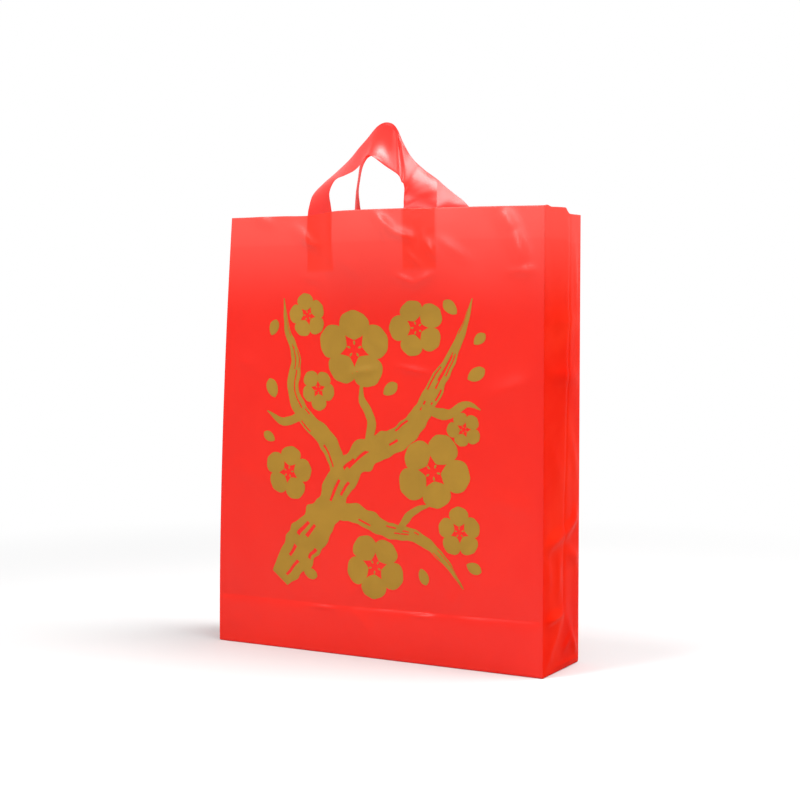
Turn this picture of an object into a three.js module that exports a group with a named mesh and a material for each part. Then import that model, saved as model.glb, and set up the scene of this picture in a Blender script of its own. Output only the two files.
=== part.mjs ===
// Plastic carrier bag: a folded film tube with side gussets, a block bottom and a turned-in hem,
// and two film-strip loop handles welded inside the front and back panels.
// Millimetres, +Z up, front panel towards -Y, origin at the middle of the base.

import * as THREE from 'three';

// Driving dimensions of the film tube
const bagWidth = 420;
const bagHeight = 500;
const bagDepth = 98;
const filmThickness = 0.3;
const baseThickness = 0.6;
const hemDepth = 35;

// How the standing tube is bent: offsets at the mouth and along the gusset folds
const leftTopInset = 21;
const leftInsetPower = 1.8;
const rightFoldAtBase = -3;
const rightFoldAtMouth = 4;
const leftFoldAtBase = -3;
const leftFoldAtMouth = -22;
const frontMouthBulge = 12;
const backMouthPull = 8;
const mouthBendDrop = 140;

// Driving dimensions of the handle strips
const stripWidth = 39;
const stripThickness = 0.3;
const legSpacing = 128;
const legRun = 65;
const loopRise = 84;
const rimTurn = 4;
const weldGap = 0.6;

// Fineness of the facets
const panelSteps = 24;
const gussetSteps = 2;
const samplesPerStation = 4;

// Levels that a handle leg passes on its way up to the rim
const hemEdge = bagHeight - hemDepth;
const legEnd = bagHeight - legRun;
const legLevels = [
  legEnd,
  (legEnd + hemEdge) / 2,
  hemEdge,
  bagHeight - hemDepth / 2,
  bagHeight - rimTurn,
  bagHeight,
];

const film = { color: 0xf03a2c, roughness: 0.35, metalness: 0, side: THREE.DoubleSide };

function easedStep(low, high, value) {
  const share = Math.min(Math.max((value - low) / (high - low), 0), 1);
  return share * share * (3 - 2 * share);
}

// Hump over the handle legs: 1 between them, a half at each leg, 0 one spacing out
function humpAcross(x) {
  const reach = Math.min(Math.abs(x) / legSpacing, 1);
  return 0.5 * (1 + Math.cos(Math.PI * reach));
}

function mouthFade(z) {
  return easedStep(bagHeight - mouthBendDrop, bagHeight, z);
}

function leftEdgeX(z) {
  return -bagWidth / 2 + leftTopInset * (z / bagHeight) ** leftInsetPower;
}

// Outer faces of the panels
function frontY(x, z) {
  return -bagDepth / 2 - frontMouthBulge * humpAcross(x) * mouthFade(z);
}

function backY(x, z) {
  return bagDepth / 2 - backMouthPull * humpAcross(x) * mouthFade(z);
}

function foldOffset(atBase, atMouth, z) {
  return THREE.MathUtils.lerp(atBase, atMouth, z / bagHeight);
}

// One level of the tube's outer face, counter-clockwise seen from above
function outerRing(z) {
  const left = leftEdgeX(z);
  const right = bagWidth / 2;
  const half = bagDepth / 2;
  const ring = [];
  for (let step = 0; step < panelSteps; step += 1) {
    const x = THREE.MathUtils.lerp(left, right, step / panelSteps);
    ring.push(new THREE.Vector2(x, frontY(x, z)));
  }
  for (let step = 0; step < gussetSteps; step += 1) {
    const share = step / gussetSteps;
    const fold = foldOffset(rightFoldAtBase, rightFoldAtMouth, z) * (1 - Math.abs(2 * share - 1));
    ring.push(new THREE.Vector2(right + fold, THREE.MathUtils.lerp(-half, half, share)));
  }
  for (let step = 0; step < panelSteps; step += 1) {
    const x = THREE.MathUtils.lerp(right, left, step / panelSteps);
    ring.push(new THREE.Vector2(x, backY(x, z)));
  }
  for (let step = 0; step < gussetSteps; step += 1) {
    const share = step / gussetSteps;
    const fold = foldOffset(leftFoldAtBase, leftFoldAtMouth, z) * (1 - Math.abs(2 * share - 1));
    ring.push(new THREE.Vector2(left - fold, THREE.MathUtils.lerp(half, -half, share)));
  }
  return ring;
}

// The same level moved in from the outer face by a wall thickness, with mitred corners
function insetRing(z, inset) {
  const ring = outerRing(z);
  const count = ring.length;
  return ring.map((point, index) => {
    const before = point.clone().sub(ring[(index + count - 1) % count]).normalize();
    const after = ring[(index + 1) % count].clone().sub(point).normalize();
    const inward = new THREE.Vector2(-before.y - after.y, before.x + after.x).normalize();
    const spread = inward.x * -after.y + inward.y * after.x;
    return point.clone().addScaledVector(inward, inset / spread);
  });
}

function indexedGeometry(points, triangles) {
  const geometry = new THREE.BufferGeometry();
  const numbers = points.flatMap((point) => [point.x, point.y, point.z]);
  geometry.setAttribute('position', new THREE.Float32BufferAttribute(numbers, 3));
  geometry.setIndex(triangles.flat());
  geometry.computeVertexNormals();
  return geometry;
}

// A four-cornered facet as two triangles, split between its first and third corners or its other two
function facet(first, second, third, fourth, splitAtFirst) {
  if (splitAtFirst) {
    return [[first, second, third], [first, third, fourth]];
  }
  return [[first, second, fourth], [second, third, fourth]];
}

// The tube as one shell: up the outer face, over the rim, down the hem, down the wall, floor;
// both faces of the film are split along the same diagonals, so that twisted facets keep their thickness
function bagGeometry() {
  const bendStart = bagHeight - mouthBendDrop;
  const wallLevels = [0, bagDepth / 2, bendStart / 2, bendStart, (bendStart + legEnd) / 2, ...legLevels];
  const hemLevels = wallLevels.filter((z) => z >= hemEdge);
  const bareLevels = wallLevels.filter((z) => z <= hemEdge);
  const outside = wallLevels.map((z) => ({ z, inset: 0 }));
  const hem = hemLevels.reverse().map((z) => ({ z, inset: 2 * filmThickness }));
  const wall = bareLevels.reverse().map((z) => ({ z: Math.max(z, baseThickness), inset: filmThickness }));
  const rows = [...outside, ...hem, ...wall];
  const rings = rows.map(({ z, inset }) => insetRing(z, inset).map((p) => new THREE.Vector3(p.x, p.y, z)));
  const count = rings[0].length;
  const points = rings.flat();
  const underside = points.push(new THREE.Vector3(0, 0, 0)) - 1;
  const floor = points.push(new THREE.Vector3(0, 0, baseThickness)) - 1;
  const rimRow = (outside.length - 1) * count;
  const lastRow = (rows.length - 1) * count;
  const triangles = [];
  for (let index = 0; index < count; index += 1) {
    const next = (index + 1) % count;
    for (let row = 0; row < lastRow; row += count) {
      const above = row + count;
      triangles.push(...facet(row + index, row + next, above + next, above + index, row < rimRow));
    }
    triangles.push([underside, next, index]);
    triangles.push([lastRow + index, lastRow + next, floor]);
  }
  return indexedGeometry(points, triangles);
}

// Stations of a loop between its legs: place along the rim as a share of half the leg spacing,
// distance from the panel along +Y, height as a share of the loop's rise, and the direction
// across the strip from its inner edge to its outer edge
const frontLoop = [
  [-0.98, -6, 0.18, [-0.92, 0.40, 0.00]],
  [-0.91, -7, 0.35, [-0.84, 0.54, 0.00]],
  [-0.70, -6, 0.49, [-0.66, 0.74, 0.15]],
  [-0.41, 1, 0.67, [-0.50, 0.70, 0.50]],
  [-0.19, 9, 0.83, [-0.20, 0.59, 0.78]],
  [0.00, 17, 0.95, [0.20, 0.35, 0.92]],
  [0.22, 16, 0.90, [0.25, 0.35, 0.90]],
  [0.45, 8, 0.75, [0.10, 0.55, 0.83]],
  [0.72, -3, 0.57, [0.05, 0.76, 0.65]],
  [0.91, -7, 0.43, [0.40, 0.75, 0.50]],
  [0.97, -4, 0.26, [0.85, 0.45, 0.25]],
];
const backLoop = [
  [-1.02, -15, 0.17, [-0.68, 0.73, 0.05]],
  [-0.97, -22, 0.38, [-0.58, 0.81, 0.09]],
  [-0.86, -29, 0.62, [-0.60, 0.79, 0.13]],
  [-0.67, -37, 0.82, [-0.57, 0.75, 0.34]],
  [-0.42, -45, 0.95, [-0.41, 0.66, 0.63]],
  [-0.14, -49, 1.00, [-0.10, 0.50, 0.86]],
  [0.13, -51, 0.94, [0.00, 0.50, 0.86]],
  [0.36, -51, 0.74, [0.00, 0.70, 0.70]],
  [0.58, -45, 0.52, [0.10, 0.82, 0.55]],
  [0.80, -33, 0.33, [0.30, 0.85, 0.43]],
  [0.97, -19, 0.14, [0.60, 0.78, 0.20]],
];

// A leg lies against the inside of its panel, clear of the hem by the weld gap
function legStation(side, z, panelY, inward) {
  const x = side * legSpacing / 2;
  const reach = side * stripWidth / 2;
  const outerEdge = new THREE.Vector3(x + reach, panelY(x + reach, z), z);
  const innerEdge = new THREE.Vector3(x - reach, panelY(x - reach, z), z);
  const seat = inward * (2 * filmThickness + weldGap + stripThickness / 2);
  const place = outerEdge.clone().add(innerEdge).multiplyScalar(0.5);
  place.y += seat;
  return { place, across: outerEdge.sub(innerEdge).normalize() };
}

function handleStations(loop, panelY, inward) {
  const rising = legLevels.map((z) => legStation(-1, z, panelY, inward));
  const falling = [...legLevels].reverse().map((z) => legStation(1, z, panelY, inward));
  const arch = loop.map(([along, beyond, rise, across]) => ({
    place: new THREE.Vector3(
      along * legSpacing / 2,
      -inward * bagDepth / 2 + beyond,
      bagHeight + rise * loopRise,
    ),
    across: new THREE.Vector3(...across).normalize(),
  }));
  return [...rising, ...arch, ...falling];
}

// A film strip swept through its stations, with square edges and closed ends
function stripGeometry(stations) {
  const path = new THREE.CatmullRomCurve3(stations.map(({ place }) => place));
  const turn = new THREE.CatmullRomCurve3(stations.map(({ across }) => across));
  const sections = (stations.length - 1) * samplesPerStation;
  const corners = [[1, 1], [1, -1], [-1, -1], [-1, 1]];
  const points = [];
  for (let index = 0; index <= sections; index += 1) {
    const share = index / sections;
    const centre = path.getPoint(share);
    const across = turn.getPoint(share).normalize();
    const face = path.getTangent(share).cross(across).normalize();
    for (const [acrossSign, faceSign] of corners) {
      const corner = centre.clone().addScaledVector(across, acrossSign * stripWidth / 2);
      points.push(corner.addScaledVector(face, faceSign * stripThickness / 2));
    }
  }
  const triangles = [[0, 1, 2], [0, 2, 3]];
  for (let row = 0; row < sections * 4; row += 4) {
    for (let side = 0; side < 4; side += 1) {
      const next = (side + 1) % 4;
      triangles.push(...facet(row + side, row + 4 + side, row + 4 + next, row + next, side < 2));
    }
  }
  const last = sections * 4;
  triangles.push([last, last + 2, last + 1]);
  triangles.push([last, last + 3, last + 2]);
  return indexedGeometry(points, triangles);
}

function filmMesh(name, geometry) {
  const mesh = new THREE.Mesh(geometry, new THREE.MeshStandardMaterial(film));
  mesh.name = name;
  return mesh;
}

const frontHandle = stripGeometry(handleStations(frontLoop, frontY, 1));
const backHandle = stripGeometry(handleStations(backLoop, backY, -1));

const carrierBag = new THREE.Group();
carrierBag.name = 'carrier_bag';
carrierBag.add(filmMesh('bag_body', bagGeometry()));
carrierBag.add(filmMesh('front_handle', frontHandle));
carrierBag.add(filmMesh('back_handle', backHandle));

export default carrierBag;
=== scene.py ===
"""Plastic carrier bag: gusseted film tube with a turned-in hem, two film loops and a gold print."""

import itertools
import math

import bmesh
import bpy
from bpy.props import FloatProperty, FloatVectorProperty, PointerProperty
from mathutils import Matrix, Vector, noise
from mathutils.bvhtree import BVHTree


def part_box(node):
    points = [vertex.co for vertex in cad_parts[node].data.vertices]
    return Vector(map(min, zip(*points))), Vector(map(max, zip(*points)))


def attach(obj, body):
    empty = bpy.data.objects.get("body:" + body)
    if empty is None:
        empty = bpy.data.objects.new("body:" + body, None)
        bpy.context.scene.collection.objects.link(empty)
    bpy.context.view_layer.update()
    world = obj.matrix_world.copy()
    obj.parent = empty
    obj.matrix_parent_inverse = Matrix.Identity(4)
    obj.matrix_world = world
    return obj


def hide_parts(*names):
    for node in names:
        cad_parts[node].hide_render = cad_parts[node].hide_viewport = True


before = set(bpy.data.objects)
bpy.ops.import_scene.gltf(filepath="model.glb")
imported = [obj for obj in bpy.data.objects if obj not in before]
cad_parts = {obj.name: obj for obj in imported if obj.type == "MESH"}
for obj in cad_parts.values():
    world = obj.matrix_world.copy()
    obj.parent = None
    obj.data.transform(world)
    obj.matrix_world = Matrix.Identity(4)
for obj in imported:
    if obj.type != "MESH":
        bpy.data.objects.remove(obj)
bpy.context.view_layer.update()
TUBE_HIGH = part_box("bag_body")[1]

bl_info = {
    "name": "Plastic carrier bag",
    "version": (1, 0, 0),
    "blender": (4, 5, 0),
    "location": "View3D > Sidebar > Carrier Bag",
    "description": "Builds a film carrier bag with loop handles, its print and a plain stage",
    "category": "Add Mesh",
}

# Tables below are in millimetres, in the bag's own frame: front towards -Y, base on Z = 0.
TO_MM = 1000.0
TO_METRES = 0.001

# Share of the mouth's forward bulge along the front rim: steep at the left leg, long to the right
FRONT_LIP = (
    (-150, 0.0), (-112, 0.0), (-86, 0.05), (-65, 0.42), (-47, 0.90), (-30, 1.04), (-8, 1.0),
    (40, 0.86), (70, 0.60), (110, 0.22), (150, 0.0), (215, 0.0),
)
# Share of the pull towards the front along the back rim
BACK_LIP = (
    (-215, 0.0), (-130, 0.0), (-90, 0.22), (-50, 0.72), (0, 1.0), (50, 0.72), (90, 0.22), (130, 0.0),
    (215, 0.0),
)
# Depths below the rim between which the bulge and the pull come in
MOUTH_BEND_START = 155.0
MOUTH_BEND_END = 15.0
# Rise of the rim along each side of the tube; the right gusset's steps down behind its centre fold
FRONT_RIM_RISE = (
    (-215, 0.2), (-120, 0.0), (-84, -0.8), (-60, 0.6), (-34, 2.4), (40, 2.6), (90, 1.9), (130, 1.8),
    (200, 0.5), (215, 0.3),
)
RIGHT_RIM_RISE = (
    (-49, 0.3), (-43, 1.3), (-38, 0.6), (-34, -0.1), (-20, 0.4), (-2, 1.0), (1, 0.6), (5, -2.7),
    (9.5, -4.4), (15, -5.0), (40, -4.2), (49, -4.0),
)
BACK_RIM_RISE = ((-215, -1.0), (-150, 0.4), (0, 1.2), (140, -0.4), (190, -3.2), (215, -4.4))
LEFT_RIM_RISE = ((-49, 0.2), (-20, -1.2), (0, -2.6), (20, -1.6), (49, -1.0))
# Depth below the rim at which its rise begins
RIM_RISE_DROP = 75.0
# How the left edge's lean grows with height
LEAN_POWER = 1.8

# How far each gusset's centre fold stands out, and where along the depth it lies, by height
RIGHT_FOLD_OUT = ((0, 3.0), (70, 3.4), (150, 3.0), (260, 3.0), (360, 3.5), (500, 4.0))
RIGHT_FOLD_PLACE = ((0, -3.0), (77, -1.0), (294, 7.2), (478, 10.2), (510, 10.5))
LEFT_FOLD_OUT = ((0, -3.0), (120, -6.0), (300, -13.0), (500, -22.0))
LEFT_FOLD_PLACE = ((0, 2.0), (250, -3.0), (510, -6.0))
# Height at which the block bottom's triangle meets the gusset's centre fold, the share by which the
# triangle stands out at its foot, and half the height over which the fold's line begins above it
TRIANGLE_TOP = 69.0
TRIANGLE_FOOT = 0.02
FOLD_START = 10.0

# Unevenness of loose film as noise: length across, length up, place in the noise, height
SLACK_WAVES = ((105.0, 130.0, 0.0, 1.3), (38.0, 52.0, 7.3, 0.4), (15.0, 19.0, 3.1, 0.07))
# Layer of the noise that each side of the tube reads
FRONT_LAYER = 1.5
BACK_LAYER = 21.5
RIGHT_LAYER = 41.5
LEFT_LAYER = 61.5
# Share of the slack that the front rim pulls out, the gussets' share of it, and how closely theirs is set
TAUT_RIM = 0.4
GUSSET_SLACK = 0.8
GUSSET_CROWDING = 2
# Distances from a panel's edges and a gusset's edges over which their relief comes in
PANEL_SIDE_FADE = 28.0
PANEL_FOOT_FADE = 26.0
GUSSET_SIDE_FADE = 16.0
GUSSET_FOOT_FADE = 22.0

# A wrinkle is cut off at this many spreads, and has this share of its height at its ends
WRINKLE_REACH = 3.0
WRINKLE_END = 0.35
# Wrinkles as raised lines: start across, start up, end across, end up, height, spread
FRONT_WRINKLES = (
    (-100, 486, -68, 462, 2.8, 7.0),
    (-86, 467, -58, 466, 0.9, 3.0),
    (-154, 502, -134, 490, 1.9, 5.6),
    (12, 494, 34, 475, 2.0, 5.5),
    (34, 475, 56, 468, 1.5, 5.0),
    (17, 484, 25, 464, 1.1, 4.2),
    (74, 464, 85, 446, 1.6, 4.6),
    (88, 466, 118, 446, 0.9, 6.5),
    (50, 454, 68, 436, 0.9, 3.2),
    (56, 474, 62, 448, 0.6, 2.8),
    (70, 476, 66, 454, 0.5, 2.6),
    (32, 430, 56, 420, 1.5, 5.0),
    (56, 420, 78, 430, 1.4, 5.0),
    (-90, 431, -62, 425, 1.2, 4.6),
    (160, 496, 173, 474, 2.2, 8.5),
    (173, 474, 187, 440, 2.2, 8.0),
    (168, 431, 204, 432, 1.2, 5.5),
    (-40, 452, -8, 430, 0.9, 8.0),
    (-28, 321, 6, 326, 1.2, 3.4),
    (30, 329, 74, 322, 1.0, 4.4),
    (-186, 340, -150, 322, 1.0, 9.0),
    (140, 296, 192, 316, 1.2, 10.0),
    (-188, 210, -150, 196, 0.9, 9.0),
    (150, 190, 196, 176, 1.0, 9.0),
    (-88, 52, -48, 52, 0.9, 2.6),
    (50, 53, 78, 54, 0.8, 2.6),
    (-30, 68, -4, 92, 1.2, 5.0),
    (-24, 50, 4, 26, 0.9, 6.0),
    (96, 64, 114, 86, 0.8, 5.0),
    (-206, 34, -172, 18, 1.0, 7.0),
)
GUSSET_WRINKLES = (
    (-48, 138, 2, 150, 4.2, 6.5),
    (-49, 59, -8, 62, 4.0, 4.6),
    (-3, 62, -45, 6, 1.1, 7.0),
    (2, 69, 46, 10, 0.8, 7.0),
    (4, 148, 46, 170, 3.2, 6.5),
    (12, 128, 46, 116, 2.6, 6.0),
    (3, 22, 22, 34, 1.8, 5.0),
    (22, 34, 44, 9, 1.7, 5.0),
    (-40, 128, -36, 92, 1.8, 6.0),
    (-12, 124, -14, 84, 1.7, 6.0),
    (40, 120, 42, 96, 0.8, 6.0),
    (-42, 322, 42, 318, 1.6, 9.0),
    (-42, 378, 44, 380, 1.4, 9.0),
    (-32, 244, -8, 206, 1.2, 8.0),
    (16, 254, 40, 212, 1.2, 8.0),
    (26, 474, 34, 400, 0.9, 7.0),
)
# The left gusset's wrinkles are the right one's, turned front to back
LEFT_WRINKLES = tuple(
    (-start, low, -end, high, *shape) for start, low, end, high, *shape in GUSSET_WRINKLES)
BACK_WRINKLES = (
    (-104, 489, -69, 468, 2.0, 5.6),
    (70, 469, 108, 490, 2.0, 5.6),
    (-36, 495, -12, 474, 1.6, 5.2),
    (8, 476, 40, 496, 1.5, 5.2),
    (-88, 432, -44, 424, 1.3, 4.8),
    (44, 424, 88, 432, 1.3, 4.8),
    (-190, 440, -168, 498, 2.0, 8.0),
    (150, 330, 196, 300, 1.2, 10.0),
    (-190, 260, -140, 280, 1.1, 10.0),
    (20, 66, 50, 96, 1.1, 5.0),
    (-130, 64, -112, 90, 1.0, 5.0),
)
# The film that stands proud along the foot of a gusset: height, level, spread, the two places along the
# depth between which it rises, and the distance from the gusset's edge over which it comes in
FOOT_LIP = (1.1, 6.5, 2.6)
FOOT_LIP_START = (-30.0, 12.0)
FOOT_LIP_FADE = 9.0
# The flat-packing crease across front and back, and how sharply it dents the panels
CREASE_LEVEL = ((-215, 56.6), (-68, 55.8), (75, 58.2), (215, 60.2))
CREASE_DEPTH = 1.9
CREASE_REACH_ABOVE = 24.0
CREASE_REACH_BELOW = 5.0
# How uneven the crease's depth is, the length of that unevenness and its place in the noise
CREASE_UNEVEN = 0.45
CREASE_WAVE = 34.0
CREASE_SEED = (4.4, 9.1)
# Distances from a panel's foot and sides over which the crease comes in
CREASE_FOOT_FADE = 30.0
CREASE_SIDE_FADE = 9.0
# The sharp line of a gusset's centre fold
FOLD_DEPTH = 1.1
FOLD_REACH = 2.6

# Where columns and rows of the film's grid lie: start, end, step
CORNER_COLUMNS = (0.0, 0.6, 1.2, 2.2, 4.0, 7.0)
PANEL_COLUMNS = ((7, 106, 6.0), (106, 322, 2.3), (322, 413, 4.5))
BACK_COLUMNS = ((7, 413, 9.0),)
GUSSET_COLUMNS = ((7, 42, 3.2), (42, 66, 1.5), (66, 91, 3.2))
WALL_ROWS = (
    (3, 12, 1.5), (12, 46, 2.8), (46, 64, 1.1), (64, 170, 4.2), (170, 308, 7.0), (308, 340, 2.2),
    (340, 410, 7.0), (410, 499, 2.6),
)
HEM_STEP = 3.6
# Radii of the tube's corners, its lower edge and its rim, half the turn of a corner, and the turns in
# degrees at which rows lie on the lower edge and the rim
CORNER_RADIUS = 1.2
HALF_CORNER = math.radians(45)
BASE_RADIUS = 1.6
BASE_TURNS = (90, 64, 38, 14)
RIM_RADIUS = 0.35
RIM_TURNS = (0, 45, 90, 135, 180)
# Flaps of the block bottom: lap past the middle, rows, share of a flap over which it settles to its level,
# distance between layers, and how far an end flap narrows
FLAP_LAP = 8.0
FLAP_ROWS = 6
FLAP_SETTLE = 0.2
FLAP_LAYER = 0.3
FLAP_TAPER = 0.98
# Ways on the ground plan, inwards from each side and along it
INWARD = {"front": (0, 1), "right": (-1, 0), "back": (0, -1), "left": (1, 0)}
ALONG = {"front": (1, 0), "right": (0, 1), "back": (-1, 0), "left": (0, -1)}
# Painted light: the film's colour grows paler towards the mouth between these heights, by this share; the
# rest is the real line of the doubled hem, which comes in at the hem's edge
PAINTED_LIGHT_LEVELS = (375.0, 505.0)
PAINTED_LIGHT_SHARE = 0.88
# Half the blur of a mark's edge
MARK_BLUR = 1.2
# Vertices nearer than this are one
MERGE_DISTANCE = 1e-4

# A loop between its legs, from left to right: the strip's inner edge, its outer edge, how far the inner
# edge flares out, and how far the middle of the strip bows out
FRONT_LOOP = (
    ((-45, -61, 508), (-82, -49, 508), 0, 0.4),
    ((-45, -64, 523), (-79, -45, 523), 0, 1),
    ((-36, -66.5, 536), (-66.5, -42, 536), 0, 1.5),
    ((-24, -65.5, 541), (-51, -38.5, 548.5), 0, 1.5),
    ((-14, -62.5, 546), (-36, -35, 562), 0, 1),
    ((-7, -59, 551.5), (-24.5, -33, 575), 1.5, 0.5),
    ((-1.5, -56.5, 557.5), (-14, -32.5, 585), 3.5, 0),
    ((3.5, -55, 560), (-4, -33, 594.5), 5.5, 0),
    ((11, -54.5, 556.5), (6, -35.5, 598), 6.5, 0),
    ((20, -55, 551), (17, -39, 596), 5, 0),
    ((30, -56.5, 545), (26, -43, 589.5), 2.5, 0),
    ((40, -59, 539), (34.5, -44, 577.5), 0.5, 0),
    ((45.5, -59, 532), (42.5, -37, 562), 0, 1.2),
    ((47, -58, 525), (52, -33.5, 550), 0, 2.4),
    ((46.5, -57.5, 518), (63.5, -33.5, 541), 0, 4.4),
    ((46, -57.5, 512), (75.5, -36.5, 532), 0, 4.8),
    ((46, -57.5, 508), (79.5, -43, 523), 0, 3.8),
    ((46, -57.5, 504.5), (81.7, -47.4, 515), 0, 2.2),
    ((45.5, -57.7, 502), (83.5, -51, 507), 0, 1),
)
BACK_LOOP = (
    ((-52, 20, 505), (-77, 43, 505), 0, 1),
    ((-50, 10, 520), (-72.5, 38, 521.5), 0, 1),
    ((-46, 2, 531), (-67, 31, 532), 0, 1),
    ((-40, -5, 543), (-61, 25, 545.5), 0, 1),
    ((-34, -11, 553), (-55, 19, 560), 0, 1),
    ((-27.5, -15, 561), (-47, 14, 574.5), 0, 1),
    ((-22.5, -15, 566), (-38.5, 10, 589), 0, 1),
    ((-19, -10, 568), (-28, 7.5, 600), 0, 1),
    ((-16, -4, 568), (-19.5, 6, 605), 0, 1),
    ((-10, -1, 566.5), (-11, 5.5, 606.5), 0, 1),
    ((-3, -1, 562.5), (-3, 6, 604), 0, 1),
    ((6.5, -4, 555.5), (3, 7, 596.5), 0, 1),
    ((17, -10, 547.5), (8.5, 9, 583), 0, 1),
    ((26, -15, 538.5), (18, 12.5, 565.5), 0, 1),
    ((35, -15.5, 529), (31, 17.5, 552), 0, 1),
    ((44, -11, 520), (43, 24, 542), 0, 1),
    ((51, -2, 511.5), (52, 31, 532.5), 0, 1),
    ((57, 6, 503.5), (61.5, 37.5, 523.5), 0, 1),
    ((57, 13, 496), (71, 42.5, 514.5), 0, 1),
    ((52, 26, 491), (79, 45.5, 503), 0, 1),
)
# How far below the rim a strip leaves its panel, front and back
FRONT_SEAT_DROP = 0.0
BACK_SEAT_DROP = 12.0
# Gap between a strip and the hem it is welded to, depths below the seat at which the upper part of a leg
# is placed, and heights above the seat between which a strip comes to lie on its panel
SEAT_GAP = 0.3
LEG_DROPS = (18.0, 4.0, 0.0)
SEAT_BLEND = (3.0, -5.0)
# The pleat across the front loop above its right leg: stations at the outer and inner edges, depth, reach
# before and behind it, and how round its bottom is
PLEAT_STATIONS = (10.6, 12.0)
PLEAT_DEPTH = 2.2
PLEAT_REACH = (9.0, 1.6)
PLEAT_ROUND = 0.8
# Lanes run from -1 at the inner edge to 1 at the outer one. The flare begins at this lane and grows as the
# square of the distance from it, over this square at the inner edge
FLARE_LANE = 0.35
FLARE_SQUARE = 1.82
# Unevenness of a strip: height, length along it, crowding across it and layer in the noise
STRIP_WAVE = (0.25, 26.0, 0.9, 5.5)
# The strips' grid, the half step over which a strip's way is measured, and the angle of a sharp edge
STRIP_STEP = 0.9
STRIP_LANES = 18
STRIP_HALF_STEP = 0.5
STRIP_SHARP = math.radians(50)
# Left of here the back loop takes a shaded copy of the handle film with almost no sheen: painted shade, so
# that its edge-on leg reads dark
SHADED_LEG_X = -22.0

# The print: branches as x, z and half width along them, then blossoms and buds as x, z, radius, turn
BRANCHES = (
    ((-124, 82, 12), (-106, 104, 21), (-82, 134, 22), (-56, 168, 19), (-38, 202, 18), (-8, 230, 16),
     (28, 246, 14), (58, 270, 12), (80, 306, 10), (98, 336, 7.5), (116, 372, 4), (126, 404, 0.5)),
    ((-42, 204, 9), (-56, 240, 11), (-86, 268, 9.5), (-104, 300, 8), (-100, 338, 6), (-112, 372, 3.6),
     (-116, 406, 0.5)),
    ((-58, 164, 8), (-18, 162, 10.5), (22, 146, 9), (56, 142, 7), (90, 120, 4.6), (116, 88, 0.5)),
    ((64, 284, 5), (96, 278, 5.6), (120, 290, 3.6), (136, 284, 0.5)),
    ((-88, 274, 5), (-116, 264, 4.8), (-139, 276, 0.5)),
    ((-6, 234, 5), (0, 268, 5.4), (-12, 292, 4), (-12, 318, 0.5)),
    ((34, 146, 4), (52, 168, 4.2), (80, 180, 0.5)),
)
BLOSSOMS = (
    (-22, 348, 45, 0.25), (78, 214, 43, 0.9), (58, 372, 33, 0.5), (-110, 206, 31, 0.1), (4, 104, 37, 0.7),
    (-84, 386, 25, 0.4), (111, 150, 27, 0.3), (116, 262, 20, 0.55), (-70, 302, 23, 0.8),
)
BUDS = (
    (-132, 302, 12, 1.9), (-130, 372, 10, 1.2), (130, 322, 12, 0.5), (100, 394, 11, 2.4),
    (128, 112, 10, -0.4), (-82, 90, 10, -0.3), (-136, 246, 9, 2.6), (66, 98, 10, -1.2), (24, 304, 11, 0.6),
    (134, 360, 9, 0.7),
)
# Branches: step along them, half width past which one is broad, lanes and dryness of broad and of thin ones
BRANCH_STEP = 3.0
BROAD_BRANCH = 6
BROAD_BRUSH = (10, 0.8)
THIN_BRUSH = (4, 0.0)
# Ragged edges of brush marks: share for branches and for petals, length, and how the two edges differ
BRANCH_RAGGED = 0.30
PETAL_RAGGED = 0.10
RAGGED_LENGTH = 11.0
RAGGED_SIDE = 1.7
# Bare streaks in a dry brush mark: length in steps, crowding across, level of the noise, gain along it
STREAK_LENGTH = 11.0
STREAK_CROWDING = 2.9
STREAK_LEVEL = 0.42
STREAK_GAIN = 0.25
# Least half width of a mark, the half step over which its way is measured, and its step in the noise
THINNEST_BRUSH = 0.05
BRUSH_HALF_STEP = 0.4
BRUSH_SEED = 11.7
# Ink: lift off the film, further lift of each mark over the one before it, marks in a cycle, thickness,
# and the angle of a sharp edge
INK_LIFT = 0.26
INK_LAYER = 0.02
INK_LAYERS = 4
INK_THICKNESS = 0.05
INK_SHARP = math.radians(35)
# Shape of a petal: rows, how far out its widest place lies, and the share left off at the two points
PETAL_ROWS = 8
PETAL_LEAN = 1.15
PETAL_POINT = 0.004
# Number of petals, then measures of petals, stamens and buds as shares of the radius; the petals' lengths
# wobble by a share, in steps of a turn
PETALS = 5
PETAL_START = 0.24
PETAL_HALF = 0.43
PETAL_WOBBLE = 0.07
PETAL_WOBBLE_TURN = 9.1
STAMEN_REACH = 0.11
STAMEN_HALF = 0.028
BUD_TAIL = 0.9
BUD_HALF = 0.62
# Steps along and lanes across a petal, a stamen and a bud
PETAL_GRID = (20, 12)
STAMEN_GRID = (8, 2)
BUD_GRID = (14, 6)

# Finishes: sheen of the film, share of the light it lets through, height of its crinkle in metres, and
# how much the gold dulls
PANEL_SHEEN = 0.36
# The gussets' near-matt sheen, like their own red, is tuned to how light falls on the sides: painted light
# on a copy of the same film
GUSSET_SHEEN = 0.008
HANDLE_SHEEN = 0.70
# Sheen of the shaded copy of the handle film on the back loop's left leg: painted shade
SHADED_HANDLE_SHEEN = 0.04
TUBE_THROUGH = 0.18
HANDLE_THROUGH = 0.25
CRINKLE_HEIGHT = 0.0006
DULL_GOLD = 0.86

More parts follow.
